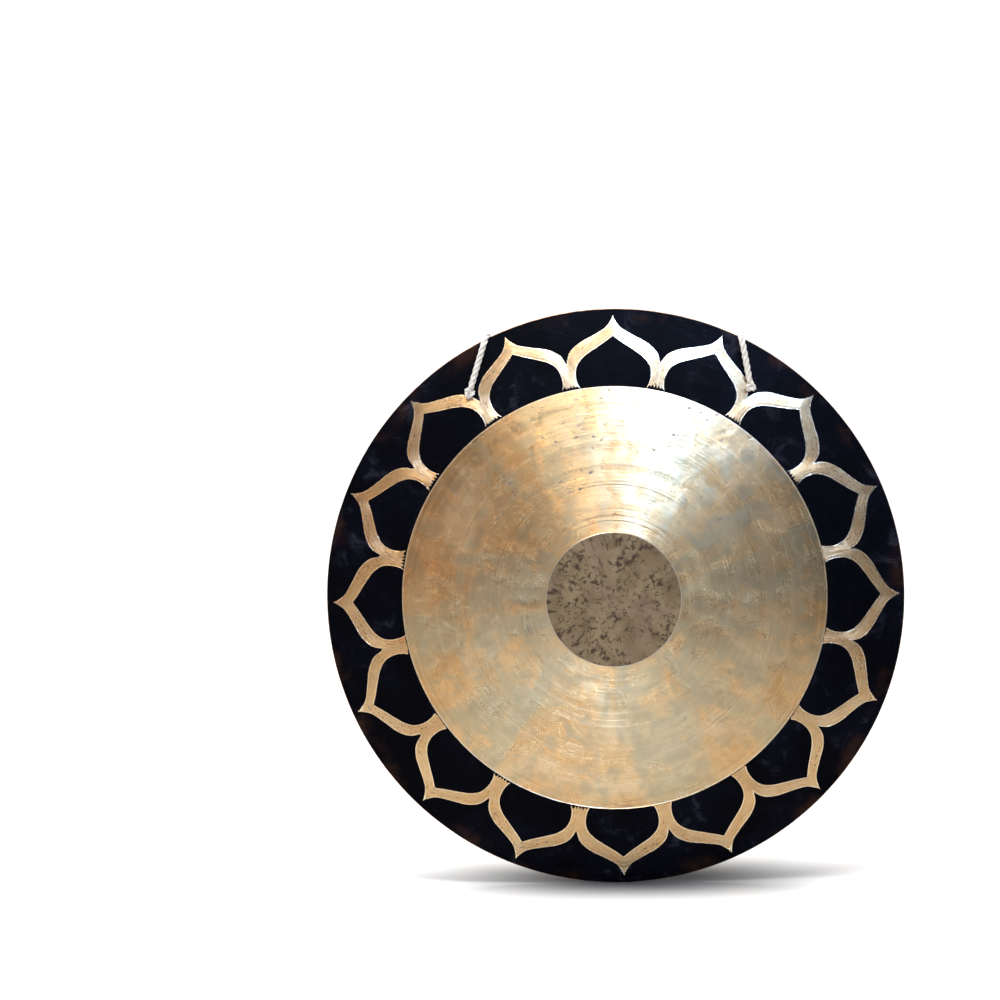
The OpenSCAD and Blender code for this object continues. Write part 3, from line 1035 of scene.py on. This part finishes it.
def backdrop():
    """A floor that bends up into a wall, made by extruding one edge in steps round a quarter circle."""
    bpy.ops.object.select_all(action="DESELECT")
    bpy.ops.mesh.primitive_plane_add(size=FLOOR_SIZE, location=(0, -1.6, FLOOR_Z))
    sweep = bpy.context.object
    sweep.name = "backdrop"
    bpy.ops.object.transform_apply(location=True, rotation=True, scale=True)
    mesh = sweep.data
    bpy.ops.object.mode_set(mode="EDIT")
    bpy.ops.mesh.select_all(action="DESELECT")
    bpy.ops.object.mode_set(mode="OBJECT")
    edge = max(mesh.edges, key=lambda e: sum(mesh.vertices[v].co.y for v in e.vertices))
    for v in edge.vertices:
        mesh.vertices[v].select = True
    edge.select = True
    bpy.ops.object.mode_set(mode="EDIT")
    bpy.ops.mesh.select_mode(type="EDGE")
    for k in range(SWEEP_STEPS):
        a, b = math.pi / 2 * k / SWEEP_STEPS, math.pi / 2 * (k + 1) / SWEEP_STEPS
        bpy.ops.mesh.extrude_region_move(TRANSFORM_OT_translate={"value": (
            0, SWEEP_R * (math.sin(b) - math.sin(a)), SWEEP_R * (math.cos(a) - math.cos(b)))})
    bpy.ops.mesh.extrude_region_move(TRANSFORM_OT_translate={"value": (0, 0, WALL_UP)})
    bpy.ops.object.mode_set(mode="OBJECT")
    bpy.ops.object.shade_smooth()
    material = bpy.data.materials.new("white_paper")
    shader, place = open_finish(material)
    from_patch = place.vector("DIVIDE", place.vector("SUBTRACT", place, SHADE_AT), SHADE_SIZE)
    shade = place.vector("LENGTH", from_patch, out=1).ramp(0.15, 1.0, 1, 0) ** 0.8
    tone = shade.mix((0.88, 0.88, 0.88), (0.03, 0.03, 0.03))
    connect(shader, Base_Color=tone, Roughness=0.9)
    mesh.materials.append(material)
    return sweep


def dark_card():
    """A dark card on the floor to the right, which the disc reflects. It is out of sight from the front."""
    bpy.ops.object.select_all(action="DESELECT")
    bpy.ops.mesh.primitive_plane_add(size=1, location=CARD_AT)
    card = bpy.context.object
    card.name, card.scale = "dark_card", CARD_SIZE
    bpy.ops.object.transform_apply(location=True, rotation=True, scale=True)
    material = bpy.data.materials.new("dark_paper")
    connect(open_finish(material)[0], Base_Color=(0.23, 0.20, 0.17, 1), Roughness=0.9)
    card.data.materials.append(material)


def softbox(name, place, target, size, power, colour=(1, 1, 1)):
    """A rectangular area light that faces a point."""
    data = bpy.data.lights.new(name, "AREA")
    data.shape, data.size, data.size_y = "RECTANGLE", *size
    data.energy, data.color = power, colour
    light = bpy.data.objects.new(name, data)
    bpy.context.scene.collection.objects.link(light)
    light.location = place
    light.rotation_euler = (Vector(target) - Vector(place)).to_track_quat("-Z", "Y").to_euler()
    return light


backdrop()
dark_card()
CENTRE = (0, 0, CENTRE_Z)
LIGHTS = {  # place, aimed at, width and height, power, colour where it isn't white
    "high_window": ((0.44, -1.80, 0.98), CENTRE, (0.56, 0.8), 96, (0.29, 0.50, 1.0)),
    "warm_lamp": ((-0.36, -1.9, 0.95), CENTRE, (0.4, 0.5), 13, (1.0, 0.85, 0.60)),
    "low_window": ((-0.01, -0.85, -0.43), CENTRE, (0.12, 0.06), 0.9, (0.30, 0.55, 1.0)),
    "front_softbox": ((0.3, -2.2, 1.3), (0, 0, 0.1), (1.2, 0.8), 13),
    "overhead_softbox": ((-0.25, -0.30, 1.6), (-0.1, -0.05, FLOOR_Z), (1.4, 0.7), 58),
    "left_panel": ((-1.05, -1.9, -0.1), CENTRE, (0.5, 0.7), 1.9, (1.0, 0.60, 0.28)),
    "wall_wash": ((-0.5, 1.0, 2.2), (-0.5, 3.2, 0.2), (5.0, 0.8), 150),
}
MIRRORED_ONLY = ("high_window", "warm_lamp", "low_window")
SKY, SKY_POWER = (1.0, 0.88, 0.72, 1), 0.09
for name, row in LIGHTS.items():
    softbox(name, *row).visible_diffuse = name not in MIRRORED_ONLY
world = bpy.data.worlds.new("warm_sky")
bpy.context.scene.world = world
world.use_nodes = True
world.node_tree.nodes["Background"].inputs[0].default_value = SKY
world.node_tree.nodes["Background"].inputs[1].default_value = SKY_POWER
bpy.context.scene.view_settings.view_transform = "Standard"

# %% [markdown]
